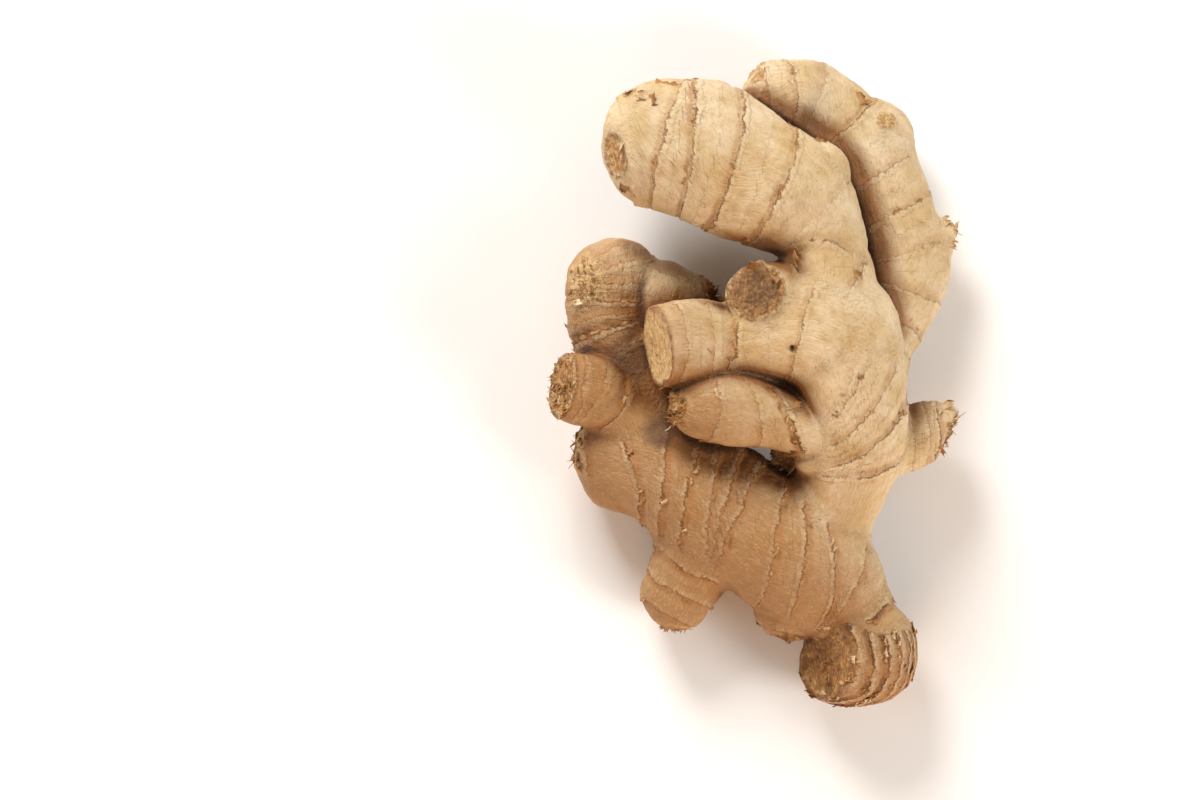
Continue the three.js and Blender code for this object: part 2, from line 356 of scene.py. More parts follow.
# limb: (mm along it, lean towards its side, bow over its top, how strong)
RINGS = {
    "stem": [
        (17, 0.33, 0, 0.8), (21.5, 0.75, 0, 0.9), (29.5, 0.9, 0, 0.8), (38, 1.0, 0, 0.8), (41, 1.3, 0, 0.45),
        (57, 1.1, 0, 0.9), (74.5, -0.5, 0, 0.6), (81, 0, -0.07, 0.3), (94.2, 0, -0.21, 0.9),
        (106.8, 0.23, -0.16, 0.9), (114.8, 0.2, 0, 0.95), (122, -0.1, 0, 0.7)],
    "side_branch": [(15, -0.3, 0, 0.7), (30.5, -0.25, 0, 0.9), (37.5, 0, -0.1, 0.5), (46, -0.1, -0.1, 0.5)],
    "snapped_stump": [(9, 0, 0, 0.5)],
    "fore_finger": [(17, 0.88, 0, 1.0), (26, 0.5, 0, 0.4), (37, 0, -0.2, 0.5)],
    "fore_bud": [(7, 0, 0, 0.5)],
    "dry_bud": [(3, 0, 0, 0.7), (6, 0, 0, 0.7)],
    "outer_finger": [
        (9, 0.2, 0, 0.4), (18, 0, 0, 0.5), (27, 0, 0, 0.55), (36.3, 0.12, 0, 0.45), (46.5, 0.2, 0, 0.6),
        (58, 0.1, -0.08, 0.7), (71.5, 0, 0, 0.75), (82.5, 0, 0, 0.5), (91, 0.1, -0.2, 0.6),
        (96, 0.5, 0, 0.6)],
    "outer_knuckle": [(9, 0, 0, 0.4)],
    "outer_bud": [(4, 0, 0, 0.6)],
    "thorn_finger": [(13, -0.25, 0, 0.5), (17.5, -0.3, 0, 0.6), (20.5, -0.4, 0, 0.9)],
    "blunt_finger": [
        (20, 0, 0, 0.7), (26.2, 0, 0, 1.2), (29.5, 0, 0, 0.5), (33, -0.07, 0, 1.1), (37.5, 0, 0, 0.6),
        (42, 0.3, 0, 0.6), (47, 0.4, 0, 0.4)],
    "blunt_lobe": [(6, 0, 0, 0.6), (13, 0.2, 0, 0.5), (19, 0, 0, 0.4)],
    "blunt_bud": [(6, 0, 0, 0.5), (9.5, 0, 0, 0.8)],
    "rear_bud": [(9, 0, 0, 0.5), (16, 0, 0, 0.5), (22, 0, 0, 0.6)],
    "left_finger": [(16.5, 0, -0.1, 0.9), (22.5, -0.2, 0, 0.4), (26.5, 0, 0, 0.5)],
    "old_body": [
        (-8, 0.4, 0, 0.6), (3.3, 0.75, 0, 0.9), (12.4, 0.5, 0, 0.8), (19.4, 0.4, 0, 0.9),
        (25.9, 0.48, 0, 0.9), (29.4, 0.3, 0, 0.8), (33.2, 0.14, 0, 0.9), (44, 0.35, 0, 0.8),
        (51, 0.5, 0, 0.8), (60, 0.9, 0, 1.0), (66, 0.4, 0, 0.8), (71, 0.25, 0, 0.8)],
    "root_lobe": [(4, 0, 0, 0.5)],
    "curl_base": [(5, 0.4, 0, 0.9), (10, 0.4, 0, 1.1), (15, 0.2, 0, 1.2)],
    "curl_end": [
        (20, 0, -0.6, 0.8), (16.2, 0, -0.6, 1.1), (11.5, 0, -0.6, 1.2), (7.1, 0, -0.6, 1.3),
        (3.5, 0, -0.6, 1.2), (0, 0, -0.6, 1.2), (-4, 0, -0.5, 1.0), (-8, 0, -0.4, 1.0)],
    "under_knob": [(7, 0, 0, 0.7), (12, 0, 0, 0.8), (16, 0, 0, 0.8)],
    "low_finger": [(9, 0.1, 0, 0.7), (15.5, 0, 0, 0.8), (22, 0, 0, 0.7), (28, 0, 0, 0.6)],
}
RING_LIP = 0.5  # height of a ring of strength 1, in mm

slopes = unit(np.random.default_rng(11).normal(size=(4096, 3)))


def noise(points, size, seed):
    """Gradient noise, about -1 to 1: the corners of cells of the given size have random slopes, and between
    the corners their heights are mixed by a smooth fifth-power step."""
    spot = points / size + seed * 19.7
    cell = np.floor(spot).astype(np.int64)
    local = spot - cell
    ease = local**3 * (local * (local * 6 - 15) + 10)
    total = np.zeros(len(points))
    for corner in np.ndindex(2, 2, 2):
        x, y, z = (cell + corner).T
        pick = (x * 73856093 ^ y * 19349663 ^ z * 83492791) % len(slopes)
        height = np.einsum("ij,ij->i", slopes[pick], local - corner)
        total += height * np.where(corner, ease, 1 - ease).prod(1)
    return 1.6 * total


# ring is the distance past the nearest ring in mm, next_ring the distance to the second nearest, and seam how
# strong the nearest one is. A ring fades where another finger presses on it or the next ring runs into it.
waver = 0.6 * noise(skin, 5, 1) + 0.3 * noise(skin, 2, 2)
ring = np.full(len(skin), 9.0)
next_ring = np.full(len(skin), 9.0)
seam = np.zeros(len(skin))
for number, name in enumerate(LIMBS):
    mine = np.flatnonzero(owner == number)
    for start, lean, bow, strength in RINGS.get(name, ()):
        past = along[mine] - start - lean * beside[mine] - bow * above[mine]
        past = past / np.sqrt(1 + lean * lean + bow * bow) + waver[mine]
        closer = np.abs(past) < np.abs(ring[mine])
        next_ring[mine] = np.where(closer, np.abs(ring[mine]), np.minimum(next_ring[mine], np.abs(past)))
        ring[mine] = np.where(closer, past, ring[mine])
        seam[mine] = np.where(closer, strength, seam[mine])
# The curled end is ringed right up to the finger that it presses on.
lead = np.where(owner == limb_number["curl_end"], 2.0, lead)
seam *= step_up(lead, 0.2, 1.6) * step_up(next_ring - np.abs(ring), 0.1, 1.2)
seam *= 0.6 + 0.4 * step_up(noise(skin, 6, 3) + 0.5 * noise(skin, 2.2, 4), -0.5, 0.4)

# Cork on dried tips, torn scale bases and root scars.
# (place in mm, reach in mm, how brown, how rough); each lies on the skin nearest to its place
PATCHES = [
    ((-31, 72, 36), 2.0, 0.5, 0.9), ((-25.6, 71.4, 40), 1.2, 0.7, 0.7), ((-20.6, -5.2, 37.5), 5.6, 0.55, 1.1),
    ((-44, 27, 20), 8.5, 0.1, 0.9), ((-42, -15, 16), 7.5, 0.25, 0.9), ((-41, -17.5, 18), 2.0, 0.9, 0.5),
    ((-11, 24.4, 15), 3.6, 0.85, 1.1), ((50, 39.5, 14.5), 2.4, 0.3, 0.9),
    ((6.5, -63, 14), 4.6, 0.85, 0.8), ((25, -81, 10), 6.0, 0.9, 0.4), ((25.9, 27.6, 40), 1.4, 0.6, 0.6),
    ((34.4, 4.4, 26), 3.2, 0.05, 0.6), ((-9.5, 19.5, 11), 3.5, 0.8, 1.0), ((33, 66, 20), 2.6, 0.25, 0.6),
    ((-20, -57, 12), 5.5, 0.5, 0.8), ((1.5, 77, 20), 2.2, 0.4, 0.6), ((12, -66, 14), 2.0, 0.9, 0.5),
]
cork = np.zeros(len(skin))
brown = np.zeros(len(skin))
coarse = np.zeros(len(skin))
rim = np.zeros(len(skin))
for middle, way, radius, _, tone, rise in BREAKS.values():
    way = unit(np.array(way))
    from_face = skin - middle
    above_face = from_face @ way
    spread = np.linalg.norm(from_face - above_face[:, None] * way, axis=1)
    on_face = (np.abs(above_face) < 4) * step_up(normal @ way, 0.45, 0.75)
    edge = spread - radius + 0.8 + 0.4 * noise(skin, 2.3, 20)
    level = (1 - step_up(edge, -0.6, 0.3)) * on_face
    rim = np.maximum(rim, np.exp(-((edge / 0.5) ** 2)) * on_face)
    cork = np.maximum(cork, level)
    brown = np.maximum(brown, level * tone * (1.5 - (spread / radius) ** 2))
    coarse = np.maximum(coarse, level * rise)
    strand = unit(np.cross(way, (0.5, 0.2, 1)))
    pressed = skin - (1 - 1 / STREAK) * (skin @ strand)[:, None] * strand
    grain = np.where((level > 0.5)[:, None], pressed, grain)
    fibrous *= np.where(on_face > 0, step_up(np.abs(edge), 0.2, 0.9), 1)
dry_bud = step_up((owner == limb_number["dry_bud"]) + 0.3 * noise(skin, 1.5, 21), 0.4, 0.6)
cork = np.maximum(cork, dry_bud)
brown = np.maximum(brown, 0.9 * dry_bud)
coarse = np.maximum(coarse, 1.2 * dry_bud)
for place, reach, tone, rise in PATCHES:
    centre = skin[np.argmin(np.linalg.norm(skin - place, axis=1))]
    distance = np.linalg.norm(skin - centre, axis=1)
    distance += 0.24 * reach * (noise(skin, 2.4, 5) + noise(skin, 6, 6))
    level = 1 - step_up(distance, 0.7 * reach, 1.05 * reach)
    cork = np.maximum(cork, level)
    brown = np.maximum(brown, level * tone)
    coarse = np.maximum(coarse, level * rise)

# The blunt finger and its side lobe press on each other in a fold, on the upper side and short of their tips.
# The fold is sunk in and painted dark as shade.
FOLD_WIDTH, FOLD_REACH, FOLD_DEPTH = 0.8, 3, 0.6
finger, lobe = rows[limb_number["blunt_finger"]], rows[limb_number["blunt_lobe"]]
fold = np.exp(-((finger - lobe) / FOLD_WIDTH) ** 2)
fold *= np.maximum(np.abs(finger), np.abs(lobe)) < FOLD_REACH
fold *= (1 - step_up(skin[:, 1], 25, 29)) * step_up(skin[:, 2], 12, 18)

# The older growth at the foot and on the left is browner than this season's fingers. The same browning also
# stands in as painted shade on that side, which the light reaches less.
age = step_up(-0.8 * skin[:, 1] - skin[:, 0] + 6 * noise(skin, 9, 23), -14, 28)
# Painted shade: a dark spot past the fore finger's tip, where that finger shades the old body, and the hollow
# between the left and the blunt finger.
FORE_TIP_SHADOW, HOLLOW_SHADE = (-23, -11.4, 28), (-31, 7.5, 25)
fore_tip_shadow = 1 - step_up(np.linalg.norm(skin - FORE_TIP_SHADOW, axis=1) + 0.8 * noise(skin, 2, 24), 3.0, 6.5)
hollow_shade = 1 - step_up(np.linalg.norm(skin - HOLLOW_SHADE, axis=1) + noise(skin, 4, 26), 3.5, 9)

# How open a spot is: the distance to the skin from 3 or 9 mm above it, over those 3 or 9 mm. It is 1 in the
# open and less where the table or another finger closes in.
open_near = skin_distance((skin + 3 * normal).astype(np.float32)) / 3
open_wide = skin_distance((skin + 9 * normal).astype(np.float32)) / 9
# The less open a spot, the more its skin is darkened as painted shade.
shelter = 1 - np.clip(0.4 * open_near + 0.6 * open_wide, 0, 1)
in_crease = step_up(1 - open_near, 0.25, 0.8)
# Under the strongest ring lips the skin is painted dark as their shadow. The darkest painted shade takes in
# tight creases, the fold, those lips and the two spots above, and later the pit.
undercut = step_up(seam, 0.95, 1.25) * np.exp(-(((ring - 0.5) / 0.55) ** 2))
deep = np.maximum.reduce([
    step_up(1 - open_near, 0.5, 0.95), fold, 0.8 * fore_tip_shadow, 0.75 * hollow_shade, 0.7 * undercut])

# Relief in mm: lumps, then fibres, the lip and groove of each ring and the narrower waist that it sits in,
# rough cork, and the rims of the smoother breaks. It fades on the table and in creases.
lip = np.where(ring < 0, np.exp(-((ring / 2.2) ** 2)), np.exp(-((ring / 0.6) ** 2)))
groove = np.exp(-(((ring - 1.1) / 0.6) ** 2))
waist = np.exp(-((ring / 3.2) ** 2))
height = 0.85 * noise(skin, 15, 7) + 0.4 * noise(skin, 7, 8) + 0.14 * noise(skin, 3.2, 25)
height += fibrous * (0.16 * noise(grain, 2.4, 9) + 0.1 * noise(grain, 1.2, 10))
height += seam * RING_LIP * (lip - 0.5 * groove) * (1 + 0.4 * noise(skin, 2.6, 11))
height += seam * waist * (0.12 * noise(grain, 1.6, 12) - 0.45)
height += coarse * (0.32 * noise(skin, 1.6, 13) + 0.25 * noise(skin, 3.6, 14) + 0.3 * noise(grain, 1.5, 15))
height += 0.35 * rim * (1 - coarse)
on_table = step_up(skin[:, 2] - floor_height, 0.1, 2.5)
height *= on_table * (1 - 0.75 * in_crease)
height -= FOLD_DEPTH * fold * on_table

# The pit of a lost root on the trunk: a small hole with a raised rim.
PIT, PIT_RIM, PIT_LIP, PIT_DEPTH = (9, 8.8, 46), 1.5, 0.25, 1.8
pit_place = skin[np.argmin(np.linalg.norm(skin - PIT, axis=1))]
pit_distance = np.linalg.norm(skin - pit_place, axis=1)
height += PIT_LIP * np.exp(-(((pit_distance - PIT_RIM) / 0.5) ** 2))
height -= PIT_DEPTH * np.exp(-((pit_distance / 0.8) ** 2))
# The inside of the pit is painted dark as shade.
deep = np.maximum(deep, 1.2 * (1 - step_up(pit_distance, 0.2, 1.1)))

# The rhizome is laid on the table, with its middle where the box of the part has its own.
low, high = (np.array(corner) * 1000 for corner in cad_box)
middle = (skin.min(0) + skin.max(0)) / 2
shift = np.array([*(low + high)[:2] / 2 - middle[:2], -floor_height])
surface = skin + height[:, None] * normal + shift
surface[:, 2] = np.maximum(surface[:, 2], 0)


def mesh_object(name, corners, polygons):
    """A smooth-shaded mesh object at the origin. Corners come in mm and go in as metres."""
    mesh = bpy.data.meshes.new(name)
    mesh.from_pydata((corners / 1000).tolist(), [], polygons.tolist())
    mesh.polygons.foreach_set("use_smooth", np.ones(len(mesh.polygons), bool))
    made = bpy.data.objects.new(name, mesh)
    bpy.context.scene.collection.objects.link(made)
    return made


def store(piece, kind, **values):
    """Keeps numpy arrays as point attributes of a piece, under their names."""
    for name, value in values.items():
        layer = piece.data.attributes.new(name, kind, "POINT")
        field = "vector" if kind == "FLOAT_VECTOR" else "value"
        layer.data.foreach_set(field, value.astype(np.float32).ravel())


rhizome = mesh_object("ginger_rhizome", surface, quads)
store(rhizome, "FLOAT_VECTOR", grain=grain)
store(
    rhizome, "FLOAT", ring=ring, seam=seam, fibrous=fibrous, cork=cork, brown=brown, rim=rim, shelter=shelter,
    deep=deep, age=age,
)


# ---------------------------------------------------------------- The rhizome: its skin
# Ginger skin: a thin dry cork over pale flesh. It was never worked, only washed and dried, so it is matt,
# with fine fibres along the finger, thin brown torn edges at the rings and a warm glow where light goes into
# the flesh.

SKIN_PALE, SKIN_TAN, SKIN_DEEP = "#DEC59F", "#CAA976", "#A57339"
SHADE_WARM_BROWN, SKIN_OLD_AND_SHADED = "#84501F", "#A1713E"
RING_BROWN, RING_GOLD, LIP_PALE = "#74431A", "#A86C30", "#E6CDA4"
CORK_STRAW, CORK_TAN, CORK_BROWN, CREASE_SHADE_BROWN = "#D6B27C", "#B07C42", "#653C1A", "#4A2B12"
FIBRE = 0.5  # mm across; real fibres are about 0.2 mm, drawn coarser so that they show
CLOUD, MOTTLE, SPECK, FRAY, DASH, CRUMB = 12, 3.2, 1.1, 1.3, 2.4, 1.5  # sizes of the other patterns, in mm


def linear(code):
    """Linear RGBA of an sRGB hex value: each channel is (c + 0.055) / 1.055 to the power 2.4, or c / 12.92
    if it is dark."""
    c = np.array([int(code[i:i + 2], 16) for i in (1, 3, 5)]) / 255
    return (*np.where(c > 0.04045, ((c + 0.055) / 1.055) ** 2.4, c / 12.92).tolist(), 1.0)


def add(tree, kind, inputs=None, **settings):
    """Adds a shader node and gives the first output that its settings leave in use, or the node if it has
    none. An input is set to its value, or linked if that is an output."""
    made = tree.nodes.new("ShaderNode" + kind)
    for name, value in settings.items():
        setattr(made, name, value)
    for socket, value in (inputs or {}).items():
        if isinstance(value, bpy.types.NodeSocket):
            tree.links.new(value, made.inputs[socket])
        else:
            made.inputs[socket].default_value = value
    shown = [output for output in made.outputs if output.enabled]
    return shown[0] if shown else made


def new_material(name):
    """An empty node material and its tree."""
    made = bpy.data.materials.new(name)
    made.use_nodes = True
    made.node_tree.nodes.clear()
    return made, made.node_tree


def ginger_skin():
    """Colour and relief of the skin, built up from the ground tone to the torn edges."""
    made, tree = new_material("ginger_skin_dry_cork")
    spot = add(tree, "TexCoord").node.outputs["Object"]
    along_fibres = add(tree, "Attribute", attribute_name="grain").node.outputs["Vector"]
    mask = {
        name: add(tree, "Attribute", attribute_name=name).node.outputs["Fac"]
        for name in ("ring", "seam", "fibrous", "cork", "brown", "rim", "shelter", "deep", "age")
    }
    # Patterns, by their size: object coordinates are in m, and those along the fibres in mm.
    grains = {
        name: add(tree, "TexNoise", {"Vector": way, "Scale": scale, "Detail": detail, "Roughness": 0.62})
        for name, way, scale, detail in (
            ("clouds", spot, 1000 / CLOUD, 3.0), ("mottle", spot, 1000 / MOTTLE, 4.0),
            ("specks", spot, 1000 / SPECK, 3.0), ("fray", spot, 1000 / FRAY, 1.5),
            ("dashes", spot, 1000 / DASH, 2.0), ("crumbs", spot, 1000 / CRUMB, 5.0),
            ("plain", spot, 625 / FIBRE, 3.0),
            ("fine", along_fibres, 1 / FIBRE, 3.0), ("broad", along_fibres, 0.31 / FIBRE, 3.0),
        )
    }
    strands = add(tree, "Mix", {0: mask["fibrous"], 2: grains["plain"], 3: grains["fine"]})
    wrinkles = add(tree, "Mix", {0: mask["fibrous"], 2: grains["plain"], 3: grains["broad"]})

    # A ring's torn edge runs raggedly to both sides of its line. Round it lie, each within its reach in mm, a
    # pale raised lip, painted paler as a highlight over its dry edge, a golden band under it that is painted
    # shade of the lip and dirt caught there, the brown edge itself and short stitches of split fibre.
    edge = add(tree, "Math", {0: grains["fray"], 1: 1.7, 2: mask["ring"]}, operation="MULTIPLY_ADD")
    edge = add(tree, "Math", {0: strands, 1: 1.0, 2: edge}, operation="MULTIPLY_ADD")
    edge = add(tree, "Math", {0: edge, 1: 1.35}, operation="SUBTRACT")
    band = {}
    for name, middle, reach, full in (
        ("lip", -0.75, 0.85, 0.4), ("under", 0.8, 1.1, 0.2), ("line", 0.0, 0.3, 0.1), ("near", 0.0, 1.7, 0.3),
    ):
        away = add(tree, "Math", {0: edge, 1: middle}, operation="SUBTRACT")
        away = add(tree, "Math", {0: away}, operation="ABSOLUTE")
        inside = add(tree, "MapRange", {"Value": away, "From Min": reach, "From Max": full})
        band[name] = add(tree, "Math", {0: inside, 1: mask["seam"]}, operation="MULTIPLY")

    # Cork is lighter or browner in crumbs and strands, round the tone of its place.
    tone = add(tree, "Math", {0: grains["crumbs"], 1: strands}, operation="ADD")
    tone = add(tree, "MapRange", {
        "Value": tone, "From Min": 0.75, "From Max": 1.3, "To Min": -0.35, "To Max": 0.55})
    tone = add(tree, "Math", {0: tone, 1: mask["brown"]}, operation="ADD")
    cork = linear(CORK_STRAW)
    for paint, low, high in ((CORK_TAN, 0.1, 0.5), (CORK_BROWN, 0.45, 1.1)):
        amount = add(tree, "MapRange", {"Value": tone, "From Min": low, "From Max": high})
        cork = add(tree, "Mix", {0: amount, 6: cork, 7: linear(paint)}, data_type="RGBA")

    # Coats over the palest tone, lowest first: (colour, value, where it starts, where it is full, its most,
    # within)
    colour = linear(SKIN_PALE)
    for paint, value, low, high, most, within in (
        (linear(SKIN_TAN), grains["clouds"], 0.36, 0.64, 1.0, 1.0),  # soft clouds of tan
        (linear(SKIN_DEEP), grains["mottle"], 0.5, 0.75, 0.4, 1.0),
        (linear(SKIN_OLD_AND_SHADED), mask["age"], 0.0, 1.0, 0.85, 1.0),  # older growth, and painted shade on the left and at the foot
        (linear(SKIN_DEEP), strands, 0.52, 0.7, 0.3, 1.0),  # fine fibres along the finger
        (linear(LIP_PALE), strands, 0.46, 0.34, 0.2, 1.0),
        (linear(RING_BROWN), grains["specks"], 0.66, 0.74, 0.5, 1.0),
        (linear(SHADE_WARM_BROWN), mask["shelter"], 0.05, 0.5, 0.9, 1.0),  # painted shade in sheltered spots, darker the less open the skin is
        # painted highlight on the raised lip, over its paler dry edge
        (linear(LIP_PALE), grains["dashes"], 0.4, 0.6, 0.3, band["lip"]),
        # painted shade under the lip, with dirt caught there
        (linear(RING_GOLD), band["under"], 0.0, 1.0, 0.6, 1.0),
        (linear(RING_BROWN), strands, 0.55, 0.66, 0.6, band["near"]),  # stitches
        (linear(RING_BROWN), grains["dashes"], 0.34, 0.5, 0.9, band["line"]),
        (cork, mask["cork"], 0.0, 1.0, 0.92, 1.0),
        (linear(RING_BROWN), grains["crumbs"], 0.35, 0.55, 0.8, mask["rim"]),  # dark outline of a break
        # painted shade in creases, the fold, the pit and under the strongest lips
        (linear(CREASE_SHADE_BROWN), mask["deep"], 0.0, 1.0, 0.85, 1.0),
    ):
        amount = add(tree, "MapRange", {"Value": value, "From Min": low, "From Max": high, "To Max": most})
        amount = add(tree, "Math", {0: amount, 1: within}, operation="MULTIPLY", use_clamp=True)
        colour = add(tree, "Mix", {0: amount, 6: colour, 7: paint}, data_type="RGBA")

    # Relief, in mm: fibres, wrinkles, the ring's torn lip and the crumbly cork.
    crumbly = add(tree, "Math", {0: mask["cork"], 1: grains["crumbs"]}, operation="MULTIPLY")
    relief = 0.0
    for part, rise in (
        (strands, 0.45), (wrinkles, 0.6), (grains["specks"], 0.25), (band["lip"], 0.26), (band["line"], -0.3),
        (crumbly, 1.0),
    ):
        relief = add(tree, "Math", {0: part, 1: rise, 2: relief}, operation="MULTIPLY_ADD")
    bump = add(tree, "Bump", {"Height": relief, "Distance": 0.001, "Strength": 1.0})
    rough = add(tree, "MapRange", {
        "Value": grains["specks"], "From Min": 0.3, "From Max": 0.7, "To Min": 0.5, "To Max": 0.7})

    shader = add(tree, "BsdfPrincipled", {
        "Base Color": colour, "Roughness": rough, "Normal": bump, "IOR": 1.42,
        "Subsurface Weight": 0.15, "Subsurface Radius": (1.0, 0.4, 0.14), "Subsurface Scale": 0.004,
    })
    add(tree, "OutputMaterial", {"Surface": shader})
    return made


rhizome.data.materials.append(ginger_skin())
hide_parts("rhizome")
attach(rhizome, "root")


# ---------------------------------------------------------------- Torn scales
# Papery remains of the scale leaves that once sheathed the fingers. They still hang on at the rings, on dried
# tips and round breaks: dry sheets a few mm long, straw to brown, rooted in the cork with their torn edge
# standing off.

SHEET_THICK = 0.16  # mm; a real one is about 0.1 mm
SHEET_ROOT = 0.35  # how deep a sheet's root is sunk in the skin, in mm
SHEET_ROWS, SHEET_COLUMNS = 4, 6
VEIN = 0.7  # size of the leaf's vein pattern, in mm
# (root, way it points, length, width, lift as a share of the length, curl as a share of the width, how
# brown), lengths in mm; each root lies on the skin nearest to it
LARGE_SCALES = [
    ((8, 32.5, 40), (1, -0.25, 0), 4.6, 3.4, 0.25, 0.25, 0.35),
    ((8.5, 33.5, 41), (0.9, 0.4, 0), 3, 3.6, 0.5, 0.2, 0.3),
    ((-26.5, 72, 40), (-1, 0.1, 0), 5, 3.8, 0.22, 0.1, 0.1),
    ((-26.5, 71, 42), (1, 0.2, 0), 1.8, 4.2, 0.7, 0.2, 0.6),
    ((-21.5, 74.3, 38), (0.2, 1, 0), 1.4, 7.5, 0.3, 0.05, 0.3),
    ((-33.5, 60, 42), (-0.3, -1, 0), 4, 2.4, 0.5, 0.3, 0.1),
    ((-33, 50, 38), (-0.5, -1, 0), 2.4, 3.2, 0.5, 0.2, 0.7),
    ((-0.5, 29.5, 42), (-1, 0.6, 0), 2.2, 3.4, 0.5, 0.2, 0.6),
    ((4.5, 27.5, 42), (-0.4, -1, 0), 2.2, 3.6, 0.5, 0.2, 0.5),
    ((-5.5, 21, 40), (-1, -0.2, 0), 2, 4, 0.4, 0.1, 0.3),
    ((26, 72.8, 20), (1, 0.5, 0), 2.4, 4.2, 0.5, 0.2, 0.3),
    ((46.8, 40.5, 16), (1, 0.6, 0), 2.6, 3, 0.4, 0.2, 0.1),
    ((47, 36.5, 15), (1, -0.3, 0), 2.8, 3, 0.35, 0.2, 0.2),
    ((7.5, -6, 36), (1, -0.8, 0), 2.4, 4.6, 0.4, 0.1, 0.35),
    ((9.5, -11, 35), (1, -0.5, 0), 2.4, 4, 0.5, 0.1, 0.45),
    ((32, 22.6, 22), (0.2, -1, 0), 1.8, 7, 0.4, 0.05, 0.4),
    ((16, 61, 35), (0.3, 1, 0), 1.6, 4.5, 0.4, 0.1, 0.4),
    ((34.5, 5, 27), (0.3, 1, 0), 2.2, 3.6, 0.12, 0.05, 0.05),
    ((36.5, -64, 14), (0.6, 1, 0), 2, 3.4, 0.6, 0.1, 0.3),
    ((12.5, -14.5, 30), (-1, 0.4, 0), 3.2, 3.4, 0.4, 0.2, 0.8),
    ((11, -18.5, 29), (-1, -0.4, 0), 3.4, 3, 0.5, 0.2, 0.9),
    ((47.5, -5, 18), (1, 0.1, 0), 3.0, 4, 0.2, 0.2, 0.15),
    ((46, -14.5, 16), (0.7, -0.7, 0), 2.8, 3.6, 0.3, 0.2, 0.2),
]


def torn_sheets(root, way, out, length, width, lift, curl, random):
    """Corners and quads of thin closed sheets, and how far along its sheet each corner is. At a share v of
    its length and u across it, -1 to 1, the middle of a sheet is root + way * length * v * torn(u) + side *
    width * (u (1 - v / 3) + skew v) / 2 + out * rise. The rise is lift * length * torn(u) * v to the power
    2.5, plus curl * width * u squared * v, less SHEET_ROOT * (1 - v) cubed."""
    count = len(root)
    v = np.linspace(0, 1, SHEET_ROWS)[None, :, None, None]
    u = np.linspace(-1, 1, SHEET_COLUMNS)[None, None, :, None]
    torn = random.uniform(0.4, 1.0, (count, 1, SHEET_COLUMNS, 1))
    skew = random.uniform(-0.5, 0.5, (count, 1, 1, 1))
    way = unit(way - np.einsum("ij,ij->i", way, out)[:, None] * out)
    side = np.cross(out, way)
    root, way, out, side = (part[:, None, None, :] for part in (root, way, out, side))
    sizes = (length, width, lift, curl)
    length, width, lift, curl = (np.asarray(size)[:, None, None, None] for size in sizes)
    rise = lift * length * v**2.5 * torn + curl * width * u**2 * v - SHEET_ROOT * (1 - v) ** 3
    middle = root + way * length * v * torn + side * width * (u * (1 - v / 3) + skew * v) / 2 + out * rise
    half = out * SHEET_THICK / 2 * (1 - 0.5 * v)
    corners = np.concatenate([middle + half, (middle - half)[:, :, ::-1]], axis=2)
    round_it = 2 * SHEET_COLUMNS
    number = np.arange(SHEET_ROWS * round_it).reshape(SHEET_ROWS, round_it)
    ahead_of = np.roll(number, -1, axis=1)
    walls = np.stack([number[:-1], number[1:], ahead_of[1:], ahead_of[:-1]], -1).reshape(-1, 4)
    near = number[:, :SHEET_COLUMNS]
    far = number[:, ::-1][:, :SHEET_COLUMNS]
    caps = [np.stack([near[r, :-1], near[r, 1:], far[r, 1:], far[r, :-1]], -1) for r in (0, -1)]
    sheet = np.vstack([walls, caps[0], caps[1][:, ::-1]])
    quads = (sheet[None] + np.arange(count)[:, None, None] * number.size).reshape(-1, 4)
    shares = np.broadcast_to(v, (count, SHEET_ROWS, round_it, 1)).reshape(-1)
    return corners.reshape(-1, 3), quads, shares


def outward(corners, quads):
    """The quads, turned round if the volume they close is negative."""
    a, b, c, d = (corners[quads[:, i]] for i in range(4))
    centre = corners.mean(0)
    volume = np.einsum("ij,ij->", np.cross(c - a, d - b), (a + b + c + d) / 4 - centre)
    return quads if volume > 0 else quads[:, ::-1]


def dry_scale():
    """Dead leaf, dried and never worked: matt, straw-coloured, browner towards its torn edge, with veins."""
    made, tree = new_material("dry_scale_leaf")
    spot = add(tree, "TexCoord").node.outputs["Object"]
    share, tone = (
        add(tree, "Attribute", attribute_name=name).node.outputs["Fac"] for name in ("share", "tone"))
    veins = add(tree, "TexNoise", {"Vector": spot, "Scale": 1000 / VEIN, "Detail": 3.0, "Roughness": 0.6})
    age = add(tree, "Math", {0: share, 1: 0.35, 2: tone}, operation="MULTIPLY_ADD")
    age = add(tree, "Math", {0: veins, 1: 0.7, 2: age}, operation="MULTIPLY_ADD")
    young = add(tree, "MapRange", {"Value": age, "From Min": 0.35, "From Max": 0.85})
    colour = add(tree, "Mix", {0: young, 6: linear(LIP_PALE), 7: linear(CORK_TAN)}, data_type="RGBA")
    dead = add(tree, "MapRange", {"Value": age, "From Min": 0.8, "From Max": 1.5})
    colour = add(tree, "Mix", {0: dead, 6: colour, 7: linear(CORK_BROWN)}, data_type="RGBA")
    bump = add(tree, "Bump", {"Height": veins, "Distance": 0.0003, "Strength": 1.0})
    shader = add(tree, "BsdfPrincipled", {
        "Base Color": colour, "Roughness": 0.6, "Normal": bump, "IOR": 1.45})
    add(tree, "OutputMaterial", {"Surface": shader})
    return made


leaf = dry_scale()
skin_normal = corner_normals(surface, quads)
heading = unit(ahead - np.einsum("ij,ij->i", ahead, skin_normal)[:, None] * skin_normal)
off_table = surface[:, 2] > 2


def scatter(weight, count, random):
    """Skin corners picked at random, without repeats, in proportion to their weight."""
    return random.choice(len(surface), count, replace=False, p=weight / weight.sum())


